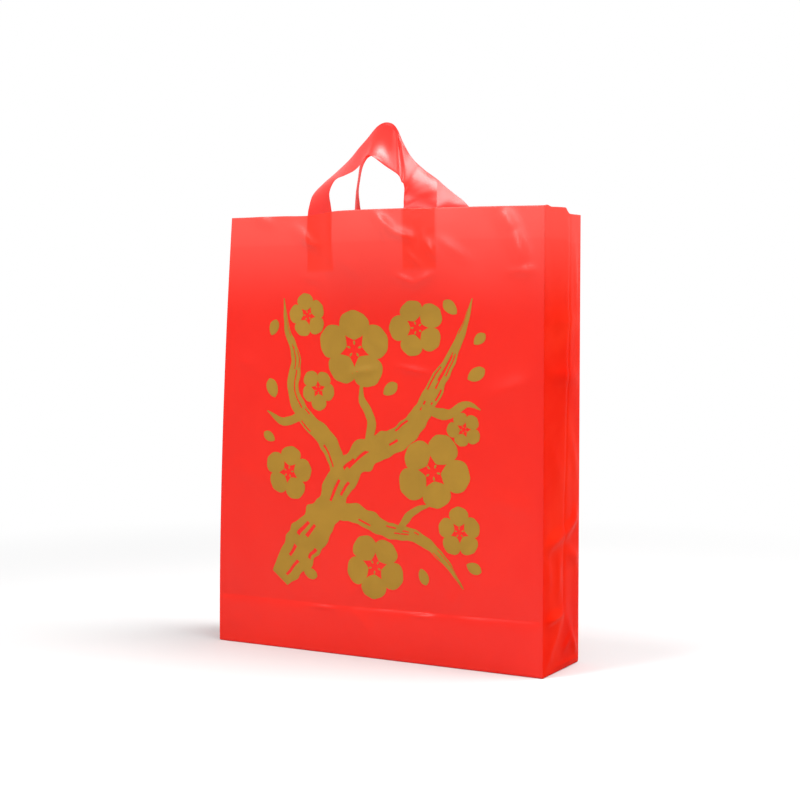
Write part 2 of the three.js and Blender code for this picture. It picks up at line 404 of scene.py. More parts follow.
# The stage, in metres and watts. Lamps: name, place, target, size, power
LAMPS = (
    ("top lamp", (0.5, 0.1, 2.4), (0.1, 0.0, 0.5), (1.1, 1.0), 44),
    ("crown lamp", (-0.3, -0.72, 2.35), (0.0, -0.05, 0.5), (0.38, 0.8), 33),
    ("left lamp", (-1.0, -2.2, 1.45), (0.0, 0.0, 0.35), (0.8, 0.36), 15),
    ("front lamp", (-0.5, -2.4, 1.05), (0.0, 0.0, 0.45), (0.6, 0.5), 6),
    ("fill lamp", (1.7, -1.6, 1.1), (0.0, 0.0, 0.25), (0.8, 0.8), 8),
    ("right lamp", (1.4, 0.4, 1.97), (0.0, 0.0, 0.4), (0.7, 0.7), 17),
    ("back lamp", (0.85, 0.85, 1.75), (0.0, 0.0, 0.45), (0.7, 0.6), 9),
)
# Light of the backdrop on the bag, the floor's radius, sides and grey, and the distances from the bag
# between which it turns white
BACKDROP_LIGHT = 0.3
FLOOR_RADIUS = 6.0
FLOOR_SEGMENTS = 96
FLOOR_GREY = 0.60
FLOOR_FADE = (0.45, 1.3)
# The camera at the photo's angle, tilted and turned in degrees
CAMERA_PLACE = (0.86336, -1.53207, 0.37536)
CAMERA_TILT = 90 - 2.798
CAMERA_TURN = 29.135
CAMERA_LENS = 69.16
CAMERA_SENSOR = 36.0


class FilmTubeSizes(bpy.types.PropertyGroup):
    """Sizes of the film tube"""

    width: FloatProperty(
        name="Width", description="Width of the panels at the base", default=0.42, unit="LENGTH")
    height: FloatProperty(
        name="Height", description="Height of the rim above the floor",
        default=round(TUBE_HIGH[2], 4), unit="LENGTH")
    depth: FloatProperty(
        name="Depth", description="Depth of the gussets", default=0.098, unit="LENGTH")
    film: FloatProperty(
        name="Film", description="Thickness of one layer of film", default=0.0002, unit="LENGTH")
    hem: FloatProperty(
        name="Hem", description="Depth of the turned-in hem", default=0.033, unit="LENGTH")
    left_inset: FloatProperty(
        name="Left lean", description="How far the left edge leans in at the rim",
        default=0.021, unit="LENGTH")
    front_bulge: FloatProperty(
        name="Front bulge", description="Forward bulge of the front rim between the legs",
        default=0.012, unit="LENGTH")
    back_pull: FloatProperty(
        name="Back pull", description="Pull of the back rim towards the front",
        default=0.008, unit="LENGTH")


class LoopHandleSizes(bpy.types.PropertyGroup):
    """Sizes of the loop handles"""

    strip_width: FloatProperty(
        name="Strip width", description="Width of the film strip", default=0.039, unit="LENGTH")
    strip_film: FloatProperty(
        name="Strip film", description="Thickness of the film strip", default=0.0003, unit="LENGTH")
    leg_spacing: FloatProperty(
        name="Leg spacing", description="Distance between the legs of one loop",
        default=0.128, unit="LENGTH")
    leg_run: FloatProperty(
        name="Leg run", description="Length of a leg below the rim", default=0.064, unit="LENGTH")


class BagFinish(bpy.types.PropertyGroup):
    """Colours of the bag"""

    film_red: FloatVectorProperty(
        name="Film", description="Red of a single layer of film", subtype="COLOR", size=3,
        default=(0.90, 0.016, 0.004))
    film_deep: FloatVectorProperty(
        name="Deep film", description="Deeper red in the film's mottling", subtype="COLOR", size=3,
        default=(0.86, 0.012, 0.003))
    # Paler red: painted light growing towards the mouth, and the real edge of the doubled hem
    hem_and_painted_light_red: FloatVectorProperty(
        name="Hem", description="Paler red towards the doubled hem", subtype="COLOR", size=3,
        default=(0.95, 0.088, 0.068))
    # Deeper red where a handle leg lies behind the film: painted shade of the leg blocking the light
    # through the film
    lap_shade_red: FloatVectorProperty(
        name="Lap", description="Red where a handle leg backs the film", subtype="COLOR", size=3,
        default=(0.95, 0.030, 0.011))
    # Red of the gussets' copy of the film, tuned to how light falls on the sides: painted light, not a
    # different film
    gusset_painted_light_red: FloatVectorProperty(
        name="Gusset", description="Deeper red of the gussets", subtype="COLOR", size=3,
        default=(0.94, 0.030, 0.009))
    handle_red: FloatVectorProperty(
        name="Handle", description="Red of the handle strips", subtype="COLOR", size=3,
        default=(0.90, 0.008, 0.003))
    gold: FloatVectorProperty(
        name="Gold", description="Colour of the gold ink", subtype="COLOR", size=3,
        default=(0.372, 0.198, 0.0165))


def clamped_share(low, high, value):
    return min(max((value - low) / (high - low), 0.0), 1.0)


def eased(low, high, value):
    share = clamped_share(low, high, value)
    return share * share * (3.0 - 2.0 * share)


def along_table(table, at):
    """Smooth value of a table of (place, value) rows, for numbers or vectors"""
    last = len(table) - 1
    if at <= table[0][0]:
        return table[0][1]
    if at >= table[last][0]:
        return table[last][1]
    index = next(i for i in range(last) if at <= table[i + 1][0])

    def slope(i):
        before, after = table[max(i - 1, 0)], table[min(i + 1, last)]
        return (after[1] - before[1]) / (after[0] - before[0])

    (start, low), (end, high) = table[index], table[index + 1]
    span = end - start
    share = (at - start) / span
    square, cube = share * share, share * share * share
    return (
        low * (2 * cube - 3 * square + 1)
        + slope(index) * (span * (cube - 2 * square + share))
        + high * (3 * square - 2 * cube)
        + slope(index + 1) * (span * (cube - square))
    )


def raised_lines(lines, across, up):
    """Height of a field of wrinkles at a place on a panel"""
    total = 0.0
    for start_across, start_up, end_across, end_up, height, spread in lines:
        run_across, run_up = end_across - start_across, end_up - start_up
        share = (across - start_across) * run_across + (up - start_up) * run_up
        share = min(max(share / (run_across ** 2 + run_up ** 2), 0.0), 1.0)
        off = math.hypot(across - start_across - share * run_across, up - start_up - share * run_up)
        if off < WRINKLE_REACH * spread:
            crest = WRINKLE_END + (1 - WRINKLE_END) * math.sin(math.pi * share)
            total += height * math.exp(-((off / spread) ** 2)) * crest
    return total


def slack(across, up, layer):
    """Gentle unevenness of loose film, in millimetres"""
    total = 0.0
    for length_across, length_up, place, height in SLACK_WAVES:
        total += height * noise.noise(Vector((across / length_across, up / length_up, layer + place)))
    return total


class TubeForm:
    """Where the film of the tube lies, in millimetres"""

    def __init__(self, sizes):
        self.width = sizes.width * TO_MM
        self.height = sizes.height * TO_MM
        self.depth = sizes.depth * TO_MM
        self.film = sizes.film * TO_MM
        self.hem = sizes.hem * TO_MM
        self.left_inset = sizes.left_inset * TO_MM
        self.front_bulge = sizes.front_bulge * TO_MM
        self.back_pull = sizes.back_pull * TO_MM
        self.right = self.width / 2
        self.half = self.depth / 2

    def left(self, z):
        return -self.right + self.left_inset * max(z / self.height, 0.0) ** LEAN_POWER

    def mouth_fade(self, z):
        return eased(self.height - MOUTH_BEND_START, self.height - MOUTH_BEND_END, z)

    def rim_fade(self, z):
        return eased(self.height - RIM_RISE_DROP, self.height, z)

    def crease_dent(self, x, z):
        off = z - along_table(CREASE_LEVEL, x)
        reach = CREASE_REACH_ABOVE if off > 0 else CREASE_REACH_BELOW
        uneven = 1 + CREASE_UNEVEN * noise.noise(Vector((x / CREASE_WAVE, *CREASE_SEED)))
        dent = CREASE_DEPTH * uneven * math.exp(-abs(off) / reach)
        beside = min(x - self.left(z), self.right - x)
        return -dent * eased(0, CREASE_FOOT_FADE, z) * eased(0, CREASE_SIDE_FADE, beside)

    def edge_fade(self, x, z):
        beside = min(x - self.left(z), self.right - x)
        return eased(0, PANEL_SIDE_FADE, beside) * eased(0, PANEL_FOOT_FADE, z)

    def front_y(self, x, z):
        out = self.front_bulge * along_table(FRONT_LIP, x) * self.mouth_fade(z)
        loose = 1 - TAUT_RIM * self.rim_fade(z)
        relief = slack(x, z, FRONT_LAYER) * loose + raised_lines(FRONT_WRINKLES, x, z)
        return -self.half - out - relief * self.edge_fade(x, z) - self.crease_dent(x, z)

    def back_y(self, x, z):
        pull = self.back_pull * along_table(BACK_LIP, x) * self.mouth_fade(z)
        relief = slack(x, z, BACK_LAYER) + raised_lines(BACK_WRINKLES, x, z)
        return self.half - pull + relief * self.edge_fade(x, z) + self.crease_dent(x, z)

    def gusset_out(self, y, z, fold_out, fold_place, wrinkles, layer):
        """How far a gusset stands out from the line between its two edges"""
        place = along_table(fold_place, z)
        if y < place:
            wing = (y + self.half) / (place + self.half)
        else:
            wing = (self.half - y) / (self.half - place)
        tent = min(wing, z / TRIANGLE_TOP + TRIANGLE_FOOT)
        beside = self.half - abs(y)
        edge = eased(0, GUSSET_SIDE_FADE, beside) * eased(0, GUSSET_FOOT_FADE, z)
        relief = GUSSET_SLACK * slack(GUSSET_CROWDING * y, z, layer) + raised_lines(wrinkles, y, z)
        above = eased(TRIANGLE_TOP - FOLD_START, TRIANGLE_TOP + FOLD_START, z)
        relief -= FOLD_DEPTH * math.exp(-abs(y - place) / FOLD_REACH) * above
        height, level, spread = FOOT_LIP
        lip = height * math.exp(-(((z - level) / spread) ** 2))
        lip *= eased(*FOOT_LIP_START, y)
        lip *= eased(0, FOOT_LIP_FADE, beside)
        return along_table(fold_out, z) * tent + relief * edge + lip

    def right_x(self, y, z):
        out = self.gusset_out(y, z, RIGHT_FOLD_OUT, RIGHT_FOLD_PLACE, GUSSET_WRINKLES, RIGHT_LAYER)
        return self.right + out

    def left_x(self, y, z):
        out = self.gusset_out(y, z, LEFT_FOLD_OUT, LEFT_FOLD_PLACE, LEFT_WRINKLES, LEFT_LAYER)
        return self.left(z) - out

    def point(self, side, run, z, inset):
        """A point of the film, by side of the tube, distance along it, height and distance in"""
        length = self.width if side in ("front", "back") else self.depth
        near = min(run, length - run)
        turn = HALF_CORNER * max(1 - near / CORNER_RADIUS, 0.0)
        inward = inset + CORNER_RADIUS * (1 - math.cos(turn))
        if near < CORNER_RADIUS:
            near = CORNER_RADIUS * (1 - math.sin(turn))
            run = near if run < length / 2 else length - near
        share = (inset + run * (length - 2 * inset) / length) / length
        level = min(max(z, 0.0), self.height)
        if side == "front":
            x = self.left(level) + share * (self.right - self.left(level))
            rise = along_table(FRONT_RIM_RISE, x)
            place = Vector((x, self.front_y(x, level) + inward, z))
        elif side == "right":
            y = -self.half + share * self.depth
            rise = along_table(RIGHT_RIM_RISE, y)
            place = Vector((self.right_x(y, level) - inward, y, z))
        elif side == "back":
            x = self.right - share * (self.right - self.left(level))
            rise = along_table(BACK_RIM_RISE, x)
            place = Vector((x, self.back_y(x, level) - inward, z))
        else:
            y = self.half - share * self.depth
            rise = along_table(LEFT_RIM_RISE, y)
            place = Vector((self.left_x(y, level) + inward, y, z))
        place.z += rise * self.rim_fade(level)
        return place


def stepped(ranges):
    """Places along a line from (start, end, step) ranges, evenly spaced in each"""
    places = []
    for start, end, step in ranges:
        count = max(round((end - start) / step), 1)
        places += [start + (end - start) * i / count for i in range(count)]
    return places + [ranges[-1][1]]


def side_columns(side, length, ranges):
    corner = list(CORNER_COLUMNS)
    middle = stepped(ranges)[1:-1]
    return [(side, run) for run in corner + middle + [length - run for run in reversed(corner)]]


def laid_grid(bm, columns, rows, lay):
    """A grid of film: lay(vert, column, row) puts each vertex in its place"""
    wide, high = len(columns) - 1, len(rows) - 1
    verts = bmesh.ops.create_grid(bm, x_segments=wide, y_segments=high, size=0.5)["verts"]
    for vert in verts:
        column = columns[round((vert.co.x + 0.5) * wide)]
        row = rows[round((vert.co.y + 0.5) * high)]
        lay(vert, column, row)
    return verts


def piece_from(bm, name, materials):
    """The finished bmesh as a smooth-shaded object at the origin, in metres"""
    bmesh.ops.scale(bm, vec=(TO_METRES,) * 3, verts=bm.verts)
    mesh = bpy.data.meshes.new(name)
    bm.to_mesh(mesh)
    bm.free()
    mesh.polygons.foreach_set("use_smooth", [True] * len(mesh.polygons))
    piece = bpy.data.objects.new(name, mesh)
    for material in materials:
        mesh.materials.append(material)
    bpy.context.scene.collection.objects.link(piece)
    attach(piece, "root")
    return piece


def film_thickness(piece, thickness, offset):
    wall = piece.modifiers.new("film thickness", "SOLIDIFY")
    wall.thickness = thickness
    wall.offset = offset
    wall.use_even_offset = False


def add_node(tree, kind, place, **values):
    """A node at a place in the tree, with the named input values set"""
    node = tree.nodes.new(kind)
    node.location = place
    for name, value in values.items():
        node.inputs[name.replace("_", " ")].default_value = value
    return node


def mixed_colour(tree, place, mask, first, second):
    """A colour mix: each of first and second is an output socket or a colour"""
    node = tree.nodes.new("ShaderNodeMix")
    node.data_type = "RGBA"
    node.location = place
    tree.links.new(mask, node.inputs[0])
    for socket, value in ((node.inputs[6], first), (node.inputs[7], second)):
        if isinstance(value, bpy.types.NodeSocket):
            tree.links.new(value, socket)
        else:
            socket.default_value = (*value, 1.0)
    return node.outputs[2]


def film_surface_group():
    """Shared surface of thin film: its mottling, its uneven gloss and its fine crinkle"""
    found = bpy.data.node_groups.get("film surface")
    if found:
        return found
    group = bpy.data.node_groups.new("film surface", "ShaderNodeTree")
    sockets = (
        ("Vector", "INPUT", "NodeSocketVector"), ("Mottle Scale", "INPUT", "NodeSocketFloat"),
        ("Crinkle Scale", "INPUT", "NodeSocketFloat"), ("Low Gloss", "INPUT", "NodeSocketFloat"),
        ("High Gloss", "INPUT", "NodeSocketFloat"), ("Mottle", "OUTPUT", "NodeSocketFloat"),
        ("Roughness", "OUTPUT", "NodeSocketFloat"), ("Height", "OUTPUT", "NodeSocketFloat"),
    )
    for name, way, kind in sockets:
        group.interface.new_socket(name, in_out=way, socket_type=kind)
    link = group.links.new
    given = add_node(group, "NodeGroupInput", (-800, 0))
    result = add_node(group, "NodeGroupOutput", (500, 0))
    mottle = add_node(group, "ShaderNodeTexNoise", (-500, 250), Detail=4.0, Roughness=0.55, Distortion=0.6)
    crinkle = add_node(group, "ShaderNodeTexNoise", (-500, -50), Detail=3.0, Roughness=0.5, Distortion=1.2)
    spread = add_node(group, "ShaderNodeMapRange", (-200, 250), From_Min=0.3, From_Max=0.7)
    gloss = add_node(group, "ShaderNodeMapRange", (150, 100), From_Min=0.0, From_Max=1.0)
    link(given.outputs["Vector"], mottle.inputs["Vector"])
    link(given.outputs["Mottle Scale"], mottle.inputs["Scale"])
    link(given.outputs["Vector"], crinkle.inputs["Vector"])
    link(given.outputs["Crinkle Scale"], crinkle.inputs["Scale"])
    link(mottle.outputs["Fac"], spread.inputs["Value"])
    link(spread.outputs["Result"], gloss.inputs["Value"])
    link(given.outputs["Low Gloss"], gloss.inputs["To Min"])
    link(given.outputs["High Gloss"], gloss.inputs["To Max"])
    link(spread.outputs["Result"], result.inputs["Mottle"])
    link(gloss.outputs["Result"], result.inputs["Roughness"])
    link(crinkle.outputs["Fac"], result.inputs["Height"])
    return group


def surface_nodes(tree, mottle_scale, crinkle_scale, low_gloss, high_gloss, bump):
    """Object coordinates through the film surface group, with its bump"""
    place = add_node(tree, "ShaderNodeTexCoord", (-1100, 0))
    surface = tree.nodes.new("ShaderNodeGroup")
    surface.node_tree = film_surface_group()
    surface.location = (-850, 0)
    surface.inputs["Mottle Scale"].default_value = mottle_scale
    surface.inputs["Crinkle Scale"].default_value = crinkle_scale
    surface.inputs["Low Gloss"].default_value = low_gloss
    surface.inputs["High Gloss"].default_value = high_gloss
    relief = add_node(tree, "ShaderNodeBump", (-300, -300), Strength=bump, Distance=CRINKLE_HEIGHT)
    tree.links.new(place.outputs["Object"], surface.inputs["Vector"])
    tree.links.new(surface.outputs["Height"], relief.inputs["Height"])
    return surface, relief


def new_material(name):
    material = bpy.data.materials.new(name)
    material.use_nodes = True
    material.node_tree.nodes.clear()
    return material, material.node_tree


def mark(tree, name, place):
    """A mask stored on the piece's vertices"""
    node = tree.nodes.new("ShaderNodeAttribute")
    node.attribute_name = name
    node.location = place
    return node.outputs["Fac"]


def translucent_film(tree, colour, surface, relief, share, sheen):
    """Glossy film that also lets light through, as the material's surface"""
    link = tree.links.new
    gloss = add_node(tree, "ShaderNodeBsdfPrincipled", (100, 100), Specular_IOR_Level=sheen)
    through = add_node(tree, "ShaderNodeBsdfTranslucent", (100, -300))
    both = add_node(tree, "ShaderNodeMixShader", (400, 0), Fac=share)
    output = add_node(tree, "ShaderNodeOutputMaterial", (600, 0))
    link(colour, gloss.inputs["Base Color"])
    link(surface.outputs["Roughness"], gloss.inputs["Roughness"])
    link(relief.outputs["Normal"], gloss.inputs["Normal"])
    link(colour, through.inputs["Color"])
    link(gloss.outputs["BSDF"], both.inputs[1])
    link(through.outputs["BSDF"], both.inputs[2])
    link(both.outputs["Shader"], output.inputs["Surface"])


def tube_film_material(name, finish, base, sheen):
    material, tree = new_material(name)
    # Roughness stays below 0.27: where it crosses that, the denoiser draws lines on the film
    surface, relief = surface_nodes(
        tree, mottle_scale=9.0, crinkle_scale=55.0, low_gloss=0.225, high_gloss=0.268, bump=0.08)
    colour = mixed_colour(tree, (-550, 300), surface.outputs["Mottle"], base, finish.film_deep)
    # Painted light towards the mouth, plus the doubled hem's edge, from the hem mark
    colour = mixed_colour(tree, (-350, 300), mark(tree, "hem", (-800, 500)), colour, finish.hem_and_painted_light_red)
    # Painted shade where a handle leg lies behind the film, from the lap mark
    colour = mixed_colour(tree, (-150, 300), mark(tree, "lap", (-800, 700)), colour, finish.lap_shade_red)
    translucent_film(tree, colour, surface, relief, TUBE_THROUGH, sheen)
    return material


def handle_film_material(name, finish, sheen):
    material, tree = new_material(name)
    surface, relief = surface_nodes(
        tree, mottle_scale=22.0, crinkle_scale=90.0, low_gloss=0.30, high_gloss=0.35, bump=0.05)
    colour = mixed_colour(tree, (-350, 300), surface.outputs["Mottle"], finish.handle_red, finish.film_red)
    translucent_film(tree, colour, surface, relief, HANDLE_THROUGH, sheen)
    return material


def gold_ink_material(finish):
    material, tree = new_material("gold ink")
    link = tree.links.new
    surface, relief = surface_nodes(
        tree, mottle_scale=30.0, crinkle_scale=60.0, low_gloss=0.40, high_gloss=0.55, bump=0.10)
    dull = tuple(DULL_GOLD * channel for channel in finish.gold)
    colour = mixed_colour(tree, (-350, 300), surface.outputs["Mottle"], finish.gold, dull)
    ink = add_node(tree, "ShaderNodeBsdfPrincipled", (100, 100), Metallic=0.15, Specular_IOR_Level=0.25)
    output = add_node(tree, "ShaderNodeOutputMaterial", (400, 100))
    link(colour, ink.inputs["Base Color"])
    link(surface.outputs["Roughness"], ink.inputs["Roughness"])
    link(relief.outputs["Normal"], ink.inputs["Normal"])
    link(ink.outputs["BSDF"], output.inputs["Surface"])
    return material


class CARRIER_OT_film_tube(bpy.types.Operator):
    """Make the film tube with its gussets, hem and block bottom"""

    bl_idname = "carrier.film_tube"
    bl_label = "Film tube"

    def execute(self, context):
        scene = context.scene
        form = TubeForm(scene.bag_tube)
        loops = scene.bag_handles
        leg_reach = loops.strip_width * TO_MM / 2
        leg_at = loops.leg_spacing * TO_MM / 2
        leg_end = form.height - loops.leg_run * TO_MM
        hem_edge = form.height - form.hem
        bm = bmesh.new()
        hem_and_light_mark = bm.verts.layers.float.new("hem")
        lap_shade_mark = bm.verts.layers.float.new("lap")
        gusset_verts = set()

        front = side_columns("front", form.width, PANEL_COLUMNS)
        right = side_columns("right", form.depth, GUSSET_COLUMNS)
        back = side_columns("back", form.width, BACK_COLUMNS)
        left = side_columns("left", form.depth, GUSSET_COLUMNS)
        around = front[:-1] + right[:-1] + back[:-1] + left

        lift = form.film / 2
        foot = [math.radians(turn) for turn in BASE_TURNS]
        rows = [(lift + BASE_RADIUS * (1 - math.sin(t)), BASE_RADIUS * (1 - math.cos(t))) for t in foot]
        rows += [(z, 0.0) for z in stepped(WALL_ROWS)]
        fold = [math.radians(turn) for turn in RIM_TURNS]
        crown = form.height - RIM_RADIUS
        rows += [(crown + RIM_RADIUS * math.sin(t), RIM_RADIUS * (1 - math.cos(t))) for t in fold]
        inner = stepped(((0, form.hem, HEM_STEP),))[1:]
        rows += [(crown - drop, 2 * RIM_RADIUS) for drop in inner]

        def lay(vert, column, row):
            side, run = column
            z, inset = row
            vert.co = form.point(side, run, z, inset)
            # The hem mark: painted light growing towards the mouth, plus the real edge of the doubled hem
            doubled = eased(hem_edge - MARK_BLUR, hem_edge + MARK_BLUR, z)
            vert[hem_and_light_mark] = PAINTED_LIGHT_SHARE * eased(*PAINTED_LIGHT_LEVELS, z) + (1 - PAINTED_LIGHT_SHARE) * doubled
            if side in ("left", "right"):
                gusset_verts.add(vert)
            else:
                # The lap mark: painted shade over the strip of film that a handle leg backs
                beside = leg_reach - abs(abs(vert.co.x) - leg_at)
                backed = eased(leg_end - MARK_BLUR, leg_end + MARK_BLUR, z)
                vert[lap_shade_mark] = eased(-MARK_BLUR, MARK_BLUR, beside) * backed

        laid_grid(bm, around, rows, lay)
        # Gusset faces take the copy of the film with painted light
        for face in bm.faces:
            face.material_index = int(gusset_verts.issuperset(face.verts))

        def flap(columns, side, reach, level, taper):
            """A flap of the block bottom, turned in from one lower edge"""
            length = form.width if side in ("front", "back") else form.depth
            shares = [1 - i / FLAP_ROWS for i in range(FLAP_ROWS + 1)]
            inward = INWARD[side]
            along = ALONG[side]

            def lay_flap(vert, column, share):
                start = form.point(side, column[1], *rows[0])
                turn = reach * share
                squeeze = taper * turn * (1 - 2 * column[1] / length)
                vert.co = start + Vector((
                    inward[0] * turn + along[0] * squeeze,
                    inward[1] * turn + along[1] * squeeze,
                    (level - start.z) * eased(0, FLAP_SETTLE, share)))

            laid_grid(bm, columns, shares, lay_flap)

        long_reach = form.half + FLAP_LAP - BASE_RADIUS
        flap(front, "front", long_reach, lift, 0.0)
        flap(back, "back", long_reach, lift + FLAP_LAYER, 0.0)
        flap(right, "right", form.half, lift + 2 * FLAP_LAYER, FLAP_TAPER)
        flap(left, "left", form.half, lift + 2 * FLAP_LAYER, FLAP_TAPER)
        bmesh.ops.remove_doubles(bm, verts=bm.verts, dist=MERGE_DISTANCE)

        finish = scene.bag_finish
        # The gussets take a copy of the film with its own red and almost no sheen: painted light
        piece = piece_from(bm, "film_tube", [
            tube_film_material("red film", finish, finish.film_red, PANEL_SHEEN),
            tube_film_material("gusset film painted light", finish, finish.gusset_painted_light_red, GUSSET_SHEEN)])
        film_thickness(piece, scene.bag_tube.film, 0.0)
        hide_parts("bag_body")
        return {"FINISHED"}


class CARRIER_OT_loop_handles(bpy.types.Operator):
    """Make the two film loop handles, welded inside the front and back of the mouth"""

    bl_idname = "carrier.loop_handles"
    bl_label = "Loop handles"

    def execute(self, context):
        scene = context.scene
        form = TubeForm(scene.bag_tube)
        sizes = scene.bag_handles
        width = sizes.strip_width * TO_MM
        spacing = sizes.leg_spacing * TO_MM / 2
        leg_end = form.height - sizes.leg_run * TO_MM
        seat = 2 * RIM_RADIUS + form.film + SEAT_GAP
        materials = (
            handle_film_material("handle film", scene.bag_finish, HANDLE_SHEEN),
            # A shaded copy of the handle film with almost no sheen, for the back loop's left leg: painted
            # shade
            handle_film_material("shaded handle film", scene.bag_finish, SHADED_HANDLE_SHEEN),
        )

        def stations(loop, panel_y, inward, top):
            """Inner edge, outer edge, flare and bow of the strip from the foot of one leg to the other"""
            levels = [leg_end, (leg_end + top) / 2]
            levels += [top - depth for depth in LEG_DROPS]
            legs = {-1: [], 1: []}
            for side, leg in legs.items():
                edges = (side * (spacing - width / 2), side * (spacing + width / 2))
                for z in levels:
                    inner, outer = [Vector((x, panel_y(x, z) + inward * seat, z)) for x in edges]
                    leg.append((inner, outer, 0.0, 0.0))
            arch = [(Vector(inner), Vector(outer), flare, bow) for inner, outer, flare, bow in loop]
            return legs[-1] + arch + legs[1][::-1]

        for name, loop, panel_y, inward, drop in (
                ("front_handle", FRONT_LOOP, form.front_y, 1, FRONT_SEAT_DROP),
                ("back_handle", BACK_LOOP, form.back_y, -1, BACK_SEAT_DROP)):
            top = form.height - drop
            run = 0.0
            middle = None
            tables = ([], [], [], [])
            for station in stations(loop, panel_y, inward, top):
                here = (station[0] + station[1]) / 2
                run += (here - middle).length if middle else 0.0
                middle = here
                for table, value in zip(tables, station):
                    table.append((run, value))
            inner_edge, outer_edge, flares, bows = tables
            bm = bmesh.new()
            leg_stations = (len(inner_edge) - len(loop)) // 2

            def station_run(station):
                low = leg_stations + int(station)
                share = station - int(station)
                return inner_edge[low][0] * (1 - share) + inner_edge[low + 1][0] * share

            def pleat(at, lane):
                """Valley across the strip where it turns down into its right leg"""
                ends = [station_run(station) for station in PLEAT_STATIONS]
                off = at - (ends[0] * (1 + lane) + ends[1] * (1 - lane)) / 2
                away = math.hypot(off, PLEAT_ROUND) - PLEAT_ROUND
                return PLEAT_DEPTH * math.exp(-away / PLEAT_REACH[off > 0])

            def lay(vert, at, lane):
                inner = along_table(inner_edge, at)
                outer = along_table(outer_edge, at)
                centre = (inner + outer) / 2
                across = (outer - inner) / 2
                later = min(at + STRIP_HALF_STEP, run)
                sooner = max(at - STRIP_HALF_STEP, 0.0)
                ahead = along_table(inner_edge, later) + along_table(outer_edge, later)
                ahead -= along_table(inner_edge, sooner) + along_table(outer_edge, sooner)
                face = ahead.cross(across).normalized()
                height, length, crowding, layer = STRIP_WAVE
                out = height * noise.noise(Vector((at / length, lane * crowding, layer * inward)))
                out += along_table(flares, at) * max(FLARE_LANE - lane, 0.0) ** 2 / FLARE_SQUARE
                out += along_table(bows, at) * (1 - lane * lane)
                if inward > 0:
                    out -= pleat(at, lane)
                point = centre + across * lane + face * out
                seated = eased(top + SEAT_BLEND[0], top + SEAT_BLEND[1], point.z)
                level = min(point.z, form.height)
                point.y += seated * (panel_y(point.x, level) + inward * seat - point.y)
                vert.co = point

            steps = round(run / STRIP_STEP)
            lanes = [2 * i / STRIP_LANES - 1 for i in range(STRIP_LANES + 1)]
            laid_grid(bm, [run * i / steps for i in range(steps + 1)], lanes, lay)
            bmesh.ops.solidify(bm, geom=bm.faces[:], thickness=sizes.strip_film * TO_MM)
            for face in bm.faces:
                # The back loop's left leg takes the shaded copy of the handle film: painted shade
                face.material_index = int(inward < 0 and face.calc_center_median().x < SHADED_LEG_X)
            piece = piece_from(bm, f"{name}_strip", materials)
            piece.data.set_sharp_from_angle(angle=STRIP_SHARP)
            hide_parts(name)
        return {"FINISHED"}


def stroke_table(points):
    """Brush path as a table of (distance, x z half-width)"""
    run = 0.0
    table = []
    for x, z, half in points:
        here = Vector((x, z, half))
        if table:
            run += (here.xy - table[-1][1].xy).length
        table.append((run, here))
    return table


